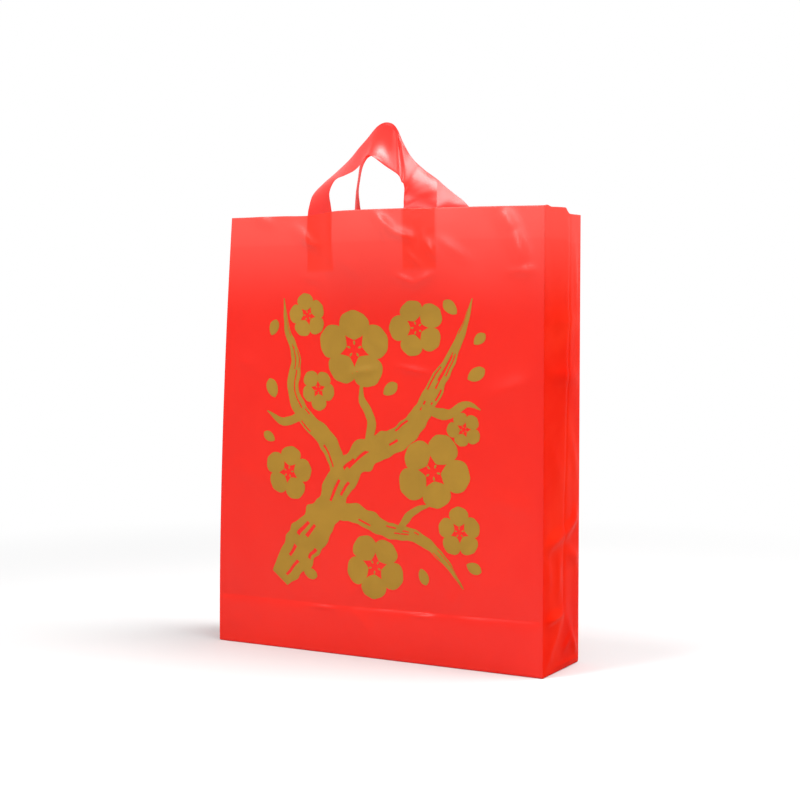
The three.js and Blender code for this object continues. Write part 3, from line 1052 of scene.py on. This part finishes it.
class CARRIER_OT_gold_print(bpy.types.Operator):
    """Make the blossoming branch printed in gold on the front panel"""

    bl_idname = "carrier.gold_print"
    bl_label = "Gold print"

    def execute(self, context):
        scene = context.scene
        tube = bpy.data.objects["film_tube"]
        surface = BVHTree.FromPolygons([v.co for v in tube.data.vertices],
                                       [tuple(p.vertices) for p in tube.data.polygons])
        bm = bmesh.new()
        marks = itertools.count(1)

        def dab(table, along_steps, lanes, ragged, dry):
            """One brush mark laid on the film"""
            length = table[-1][0]
            number = next(marks)
            seed = BRUSH_SEED * number
            lift = INK_LIFT + INK_LAYER * (number % INK_LAYERS)

            def lay(vert, share, lane):
                at = share * length
                x, z, half = along_table(table, at)
                later = min(at + BRUSH_HALF_STEP, length)
                sooner = max(at - BRUSH_HALF_STEP, 0.0)
                way = (along_table(table, later) - along_table(table, sooner)).xy.normalized()
                side = RAGGED_SIDE * math.copysign(1, lane)
                half = max(half, THINNEST_BRUSH)
                half *= 1 + ragged * noise.noise(Vector((at / RAGGED_LENGTH, side, seed)))
                x -= way.y * lane * half
                z += way.x * lane * half
                before_panel = Vector((x * TO_METRES, -1.0, z * TO_METRES))
                hit = surface.ray_cast(before_panel, Vector((0, 1, 0)))[0]
                if hit is None:
                    raise RuntimeError("the print runs off the front panel")
                vert.co = Vector((x, hit.y * TO_MM - lift, z))

            shares = [0.5 - 0.5 * math.cos(math.pi * i / along_steps) for i in range(along_steps + 1)]
            if dry:
                shares = [i / along_steps for i in range(along_steps + 1)]
            places = [2 * i / lanes - 1 for i in range(lanes + 1)]
            verts = laid_grid(bm, shares, places, lay)
            if dry:
                thin = []
                for face in {f for v in verts for f in v.link_faces}:
                    corner = min(face.verts, key=lambda v: v.index)
                    index = verts.index(corner)
                    lane, step = divmod(index, along_steps + 1)
                    if 0 < lane < lanes - 1:
                        streak = noise.noise(Vector((step / STREAK_LENGTH, STREAK_CROWDING * lane, seed)))
                        if streak > STREAK_LEVEL - STREAK_GAIN * dry * step / along_steps:
                            thin.append(face)
                bmesh.ops.delete(bm, geom=thin, context="FACES")

        for points in BRANCHES:
            table = stroke_table(points)
            broad = max(half for _, _, half in points) > BROAD_BRANCH
            lanes, dry = BROAD_BRUSH if broad else THIN_BRUSH
            dab(table, round(table[-1][0] / BRANCH_STEP), lanes, BRANCH_RAGGED, dry)

        def petal(x, z, turn, start, end, widest, grid):
            """One rounded petal, from start to end along its direction"""
            way = Vector((math.cos(turn), math.sin(turn)))
            rows = []
            for i in range(PETAL_ROWS + 1):
                share = i / PETAL_ROWS
                along = min(max(share, PETAL_POINT), 1 - PETAL_POINT)
                half = widest * math.sin(math.pi * along ** PETAL_LEAN) ** 0.5
                spot = Vector((x, z)) + way * (start + (end - start) * share)
                rows.append((spot.x, spot.y, half))
            dab(stroke_table(rows), *grid, PETAL_RAGGED, 0.0)

        for x, z, radius, turn in BLOSSOMS:
            reach = STAMEN_REACH * radius
            for i in range(PETALS):
                at = 2 * math.pi * (i + turn) / PETALS
                wobble = 1 + PETAL_WOBBLE * math.sin(PETAL_WOBBLE_TURN * i + x)
                petal(x, z, at, PETAL_START * radius, radius * wobble, PETAL_HALF * radius, PETAL_GRID)
                petal(x + reach * math.cos(at), z + reach * math.sin(at), at, 0.0, reach,
                      STAMEN_HALF * radius, STAMEN_GRID)
        for x, z, radius, turn in BUDS:
            petal(x, z, turn, -BUD_TAIL * radius, radius, BUD_HALF * radius, BUD_GRID)

        bmesh.ops.solidify(bm, geom=bm.faces[:], thickness=INK_THICKNESS)
        piece = piece_from(bm, "front_print", [gold_ink_material(scene.bag_finish)])
        piece.data.set_sharp_from_angle(angle=INK_SHARP)
        return {"FINISHED"}


def background_rays(tree, place):
    """1 for the rays that see the backdrop: camera, glossy and transmission rays"""
    path = add_node(tree, "ShaderNodeLightPath", place)
    first = add_node(tree, "ShaderNodeMath", (place[0] + 200, place[1]))
    second = add_node(tree, "ShaderNodeMath", (place[0] + 400, place[1]))
    for node in (first, second):
        node.operation = "MAXIMUM"
    tree.links.new(path.outputs["Is Camera Ray"], first.inputs[0])
    tree.links.new(path.outputs["Is Glossy Ray"], first.inputs[1])
    tree.links.new(first.outputs[0], second.inputs[0])
    tree.links.new(path.outputs["Is Transmission Ray"], second.inputs[1])
    return second.outputs[0]


def soft_lamp(name, place, target, size, power):
    lamp = bpy.data.lights.new(name, "AREA")
    lamp.shape = "RECTANGLE"
    lamp.size, lamp.size_y = size
    lamp.energy = power
    lit = bpy.data.objects.new(name, lamp)
    lit.location = place
    lit.rotation_euler = (Vector(target) - Vector(place)).to_track_quat("-Z", "Y").to_euler()
    bpy.context.scene.collection.objects.link(lit)


class CARRIER_OT_stage(bpy.types.Operator):
    """Make the pale floor, the white backdrop, the soft lamps and the camera"""

    bl_idname = "carrier.stage"
    bl_label = "Stage"

    def execute(self, context):
        scene = context.scene
        scene.view_settings.view_transform = "Standard"

        world = bpy.data.worlds.new("white backdrop")
        world.use_nodes = True
        tree = world.node_tree
        seen = background_rays(tree, (-700, 200))
        strength = add_node(tree, "ShaderNodeMapRange", (-100, 200), To_Min=BACKDROP_LIGHT, To_Max=1.0)
        tree.links.new(seen, strength.inputs["Value"])
        sky = tree.nodes["Background"]
        sky.inputs["Color"].default_value = (1.0, 1.0, 1.0, 1.0)
        tree.links.new(strength.outputs["Result"], sky.inputs["Strength"])
        scene.world = world

        bm = bmesh.new()
        bmesh.ops.create_circle(bm, cap_ends=True, segments=FLOOR_SEGMENTS, radius=FLOOR_RADIUS)
        mesh = bpy.data.meshes.new("floor")
        bm.to_mesh(mesh)
        bm.free()
        floor = bpy.data.objects.new("floor", mesh)
        scene.collection.objects.link(floor)
        material, tree = new_material("pale floor")
        link = tree.links.new
        place = add_node(tree, "ShaderNodeTexCoord", (-900, -200))
        apart = add_node(tree, "ShaderNodeVectorMath", (-700, -200))
        apart.operation = "LENGTH"
        near, away = FLOOR_FADE
        far = add_node(tree, "ShaderNodeMapRange", (-500, -200), From_Min=near, From_Max=away)
        far.interpolation_type = "SMOOTHSTEP"
        both = add_node(tree, "ShaderNodeMath", (-200, 0))
        both.operation = "MULTIPLY"
        grey = (FLOOR_GREY, FLOOR_GREY, FLOOR_GREY, 1.0)
        pale = add_node(tree, "ShaderNodeBsdfDiffuse", (-200, 300), Color=grey)
        white = add_node(tree, "ShaderNodeEmission", (-200, -300), Strength=1.0)
        mix = add_node(tree, "ShaderNodeMixShader", (100, 100))
        output = add_node(tree, "ShaderNodeOutputMaterial", (300, 100))
        link(place.outputs["Object"], apart.inputs[0])
        link(apart.outputs["Value"], far.inputs["Value"])
        link(background_rays(tree, (-1000, 100)), both.inputs[0])
        link(far.outputs["Result"], both.inputs[1])
        link(both.outputs[0], mix.inputs[0])
        link(pale.outputs["BSDF"], mix.inputs[1])
        link(white.outputs["Emission"], mix.inputs[2])
        link(mix.outputs["Shader"], output.inputs["Surface"])
        mesh.materials.append(material)

        for lamp in LAMPS:
            soft_lamp(*lamp)

        lens = bpy.data.cameras.new("camera")
        lens.lens = CAMERA_LENS
        lens.sensor_width = CAMERA_SENSOR
        camera = bpy.data.objects.new("camera", lens)
        camera.location = CAMERA_PLACE
        camera.rotation_euler = (math.radians(CAMERA_TILT), 0.0, math.radians(CAMERA_TURN))
        scene.collection.objects.link(camera)
        scene.camera = camera
        return {"FINISHED"}


class CARRIER_PT_panel(bpy.types.Panel):
    """Sizes, colours and builders of the carrier bag"""

    bl_idname = "CARRIER_PT_panel"
    bl_label = "Carrier bag"
    bl_space_type = "VIEW_3D"
    bl_region_type = "UI"
    bl_category = "Carrier Bag"

    def draw(self, context):
        for settings in (context.scene.bag_tube, context.scene.bag_handles, context.scene.bag_finish):
            box = self.layout.box()
            for name in settings.bl_rna.properties.keys():
                if name not in ("rna_type", "name"):
                    box.prop(settings, name)
        for operator in BUILDERS:
            self.layout.operator(operator.bl_idname)


SETTINGS = {"bag_tube": FilmTubeSizes, "bag_handles": LoopHandleSizes, "bag_finish": BagFinish}
BUILDERS = (CARRIER_OT_film_tube, CARRIER_OT_loop_handles, CARRIER_OT_gold_print, CARRIER_OT_stage)


def register():
    for kind in (*SETTINGS.values(), *BUILDERS, CARRIER_PT_panel):
        bpy.utils.register_class(kind)
    for name, kind in SETTINGS.items():
        setattr(bpy.types.Scene, name, PointerProperty(type=kind))


def unregister():
    for name in SETTINGS:
        delattr(bpy.types.Scene, name)
    for kind in (CARRIER_PT_panel, *reversed(BUILDERS), *SETTINGS.values()):
        bpy.utils.unregister_class(kind)


def main():
    register()
    bpy.ops.carrier.film_tube()
    bpy.ops.carrier.loop_handles()
    bpy.ops.carrier.gold_print()
    bpy.ops.carrier.stage()
    bpy.context.view_layer.update()


if __name__ == "__main__":
    main()
